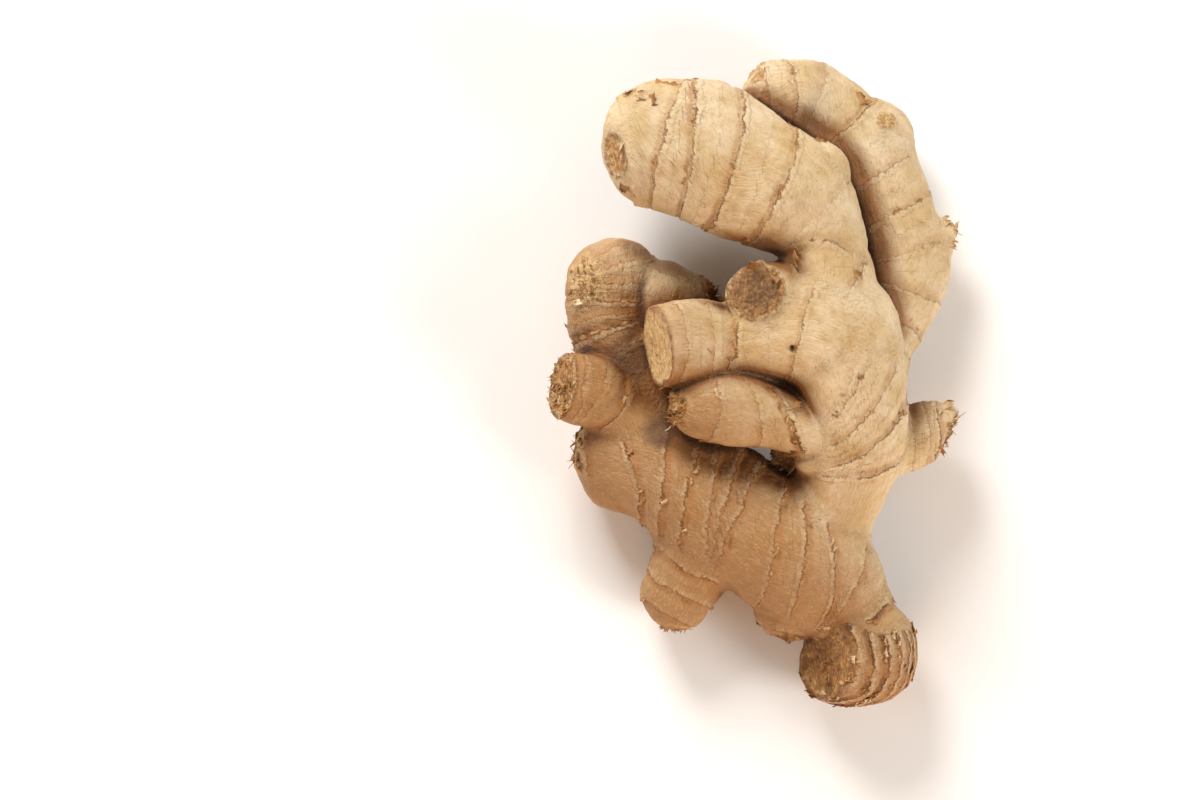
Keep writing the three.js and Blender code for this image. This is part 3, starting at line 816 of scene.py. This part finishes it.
def scales(name, at, way, random, length, width, lift, curl, tone):
    """One piece of torn sheets that are rooted on the given skin corners."""
    corners, faces, share = torn_sheets(surface[at], way, skin_normal[at], length, width, lift, curl, random)
    made = mesh_object(name, corners, outward(corners, faces))
    store(made, "FLOAT", share=share, tone=np.repeat(tone, len(share) // len(at)))
    made.data.materials.append(leaf)
    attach(made, "root")


RING_SCALES, BARK_SCALES = 400, 300
random = np.random.default_rng(21)
at = scatter((np.abs(ring) < 0.45) * seam**2 * off_table, RING_SCALES, random)
scales(
    "ring_scales", at, heading[at] + 0.25 * random.normal(size=(RING_SCALES, 3)), random,
    random.uniform(0.6, 1.7, RING_SCALES), random.uniform(0.8, 3.2, RING_SCALES),
    random.uniform(0.05, 0.4, RING_SCALES), random.uniform(-0.04, 0.1, RING_SCALES),
    random.uniform(0.0, 0.55, RING_SCALES))

random = np.random.default_rng(22)
at = scatter(np.maximum(coarse - 0.65, 0) * off_table, BARK_SCALES, random)
scales(
    "bark_scales", at, heading[at] + 0.8 * random.normal(size=(BARK_SCALES, 3)), random,
    random.uniform(0.8, 2.4, BARK_SCALES), random.uniform(0.7, 2.2, BARK_SCALES),
    random.uniform(0.1, 0.5, BARK_SCALES), random.uniform(0, 0.2, BARK_SCALES),
    0.8 * brown[at] + random.uniform(-0.25, 0.25, BARK_SCALES))

random = np.random.default_rng(23)
place, way, *sizes, tone = (np.array(column, float) for column in zip(*LARGE_SCALES))
at = np.array([np.argmin(np.linalg.norm(surface - shift - spot, axis=1)) for spot in place])
scales("large_scales", at, way, random, *sizes, tone)


# ---------------------------------------------------------------- Root fibres
# Stubs of the roots and of the leaf veins, thinner than a pin, tough and dry. They grew out of the flesh, and
# stick out of the scars and the dried ends.

FIBRES, FIBRE_RINGS, FIBRE_SIDES = 240, 5, 4
FIBRE_RADIUS, FIBRE_TAPER = 0.15, 0.1  # at its root, and how much of that is gone at its tip, in mm
FIBRE_CLEAR = 0.05  # least height over the table, in mm
random = np.random.default_rng(24)
at = scatter(np.maximum(coarse - 0.7, 0) * off_table, FIBRES, random)
grow = unit(0.4 * skin_normal[at] + 0.3 * heading[at] + 0.5 * random.normal(size=(FIBRES, 3)))
droop = random.normal(size=(FIBRES, 3))
fibre_length = random.uniform(0.8, 2.2, (FIBRES, 1, 1))
v = np.linspace(0, 1, FIBRE_RINGS)[None, :, None]
# A fibre's middle is root + length * (way * (v - 0.1) + droop * v squared / 3) at a share v of its length,
# so its foot is sunk in the skin.
middle = surface[at][:, None] + fibre_length * (grow[:, None] * (v - 0.1) + droop[:, None] * v**2 / 3)
across = unit(np.cross(grow, (0.3, 0.2, 1)))[:, None, None]
upright = unit(np.cross(grow, across[:, 0, 0]))[:, None, None]
turn = (2 * np.pi * np.arange(FIBRE_SIDES) / FIBRE_SIDES)[None, None, :, None]
radius = (FIBRE_RADIUS - FIBRE_TAPER * v)[..., None]
corners = middle[:, :, None] + radius * (np.cos(turn) * across + np.sin(turn) * upright)
number = np.arange(FIBRE_RINGS * FIBRE_SIDES).reshape(FIBRE_RINGS, FIBRE_SIDES)
ahead_of = np.roll(number, -1, axis=1)
walls = np.stack([number[:-1], ahead_of[:-1], ahead_of[1:], number[1:]], -1).reshape(-1, 4)
fibre = np.vstack([walls, number[:1, ::-1], number[-1:]])
faces = (fibre[None] + np.arange(FIBRES)[:, None, None] * number.size).reshape(-1, 4)
corners = corners.reshape(-1, 3)
corners[:, 2] = np.maximum(corners[:, 2], FIBRE_CLEAR)
fibres = mesh_object("root_fibres", corners, outward(corners, faces))
store(
    fibres, "FLOAT", share=np.tile(np.repeat(np.linspace(0, 1, FIBRE_RINGS), FIBRE_SIDES), FIBRES),
    tone=np.repeat(0.3 + 0.6 * brown[at], number.size))
fibres.data.materials.append(leaf)
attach(fibres, "root")


# ---------------------------------------------------------------- The table
# A plain white sheet of matt paper that the rhizome lies loose on, far wider than the view. It is part of the
# stage and not of the object.

TABLE_HALF = 3.0  # half its side, in m
PAPER_WHITE = "#F6F4F1"
table_mesh = bpy.data.meshes.new("table")
table_mesh.from_pydata(
    [(-TABLE_HALF, -TABLE_HALF, 0), (TABLE_HALF, -TABLE_HALF, 0), (TABLE_HALF, TABLE_HALF, 0),
     (-TABLE_HALF, TABLE_HALF, 0)], [], [(0, 1, 2, 3)])
table = bpy.data.objects.new("table", table_mesh)
bpy.context.scene.collection.objects.link(table)
paper, paper_tree = new_material("white_paper_matt")
paper_shader = add(paper_tree, "BsdfPrincipled", {"Base Color": linear(PAPER_WHITE), "Roughness": 0.9})
add(paper_tree, "OutputMaterial", {"Surface": paper_shader})
table_mesh.materials.append(paper)


# ---------------------------------------------------------------- Studio light and camera
# A soft box beyond the crown end is the main light. Two white ones and a warm one at the foot fill in the
# sides, and a pale room lights it a little from all round.

CENTRE = np.array([0.0, 0.0, 0.02])  # the middle of the rhizome, in m
WHITE, WARM = (1.0, 1.0, 1.0), (1.0, 0.56, 0.24)
ROOM_LIGHT = 0.24


def soft_box(name, place, size, power, colour=WHITE):
    """A square area light that faces the rhizome, with its place and side in m and its power in W."""
    light = bpy.data.lights.new(name, "AREA")
    light.size, light.energy, light.color = size, power, colour
    made = bpy.data.objects.new(name, light)
    made.location = place
    towards = CENTRE - np.array(place)
    made.rotation_euler = Vector(towards).to_track_quat("-Z", "Y").to_euler()
    bpy.context.scene.collection.objects.link(made)


soft_box("key", (-0.4, 1.0, 0.7), 0.5, 18.5)
soft_box("right", (1.0, -0.5, 0.6), 0.5, 11)
soft_box("left", (-1.1, 0.0, 0.5), 0.6, 3)
soft_box("foot", (-0.1, -1.0, 0.45), 0.6, 5, WARM)
room = bpy.data.worlds.new("pale_room")
room.use_nodes = True
sky = room.node_tree.nodes["Background"]
sky.inputs["Color"].default_value = (*WHITE, 1.0)
sky.inputs["Strength"].default_value = ROOM_LIGHT
bpy.context.scene.world = room
bpy.context.scene.view_settings.view_transform = "Standard"

# The camera looks straight down from far off, so that the fingers keep their true outline.
CAMERA_HEIGHT = 1.6  # m
SENSOR_WIDTH = 36  # mm
VIEW_WIDTH = 0.3  # width that the view takes in at the height of the fingers, in m
VIEW_CENTRE = (shift[:2] + (-38.6, -3.4)) / 1000  # to the left of the rhizome's middle, in m
camera = bpy.data.cameras.new("camera")
camera.sensor_width = SENSOR_WIDTH
camera.lens = SENSOR_WIDTH * (CAMERA_HEIGHT - CENTRE[2]) / VIEW_WIDTH
camera.clip_end = 10
viewer = bpy.data.objects.new("camera", camera)
viewer.location = (*VIEW_CENTRE, CAMERA_HEIGHT)
bpy.context.scene.collection.objects.link(viewer)
bpy.context.scene.camera = viewer
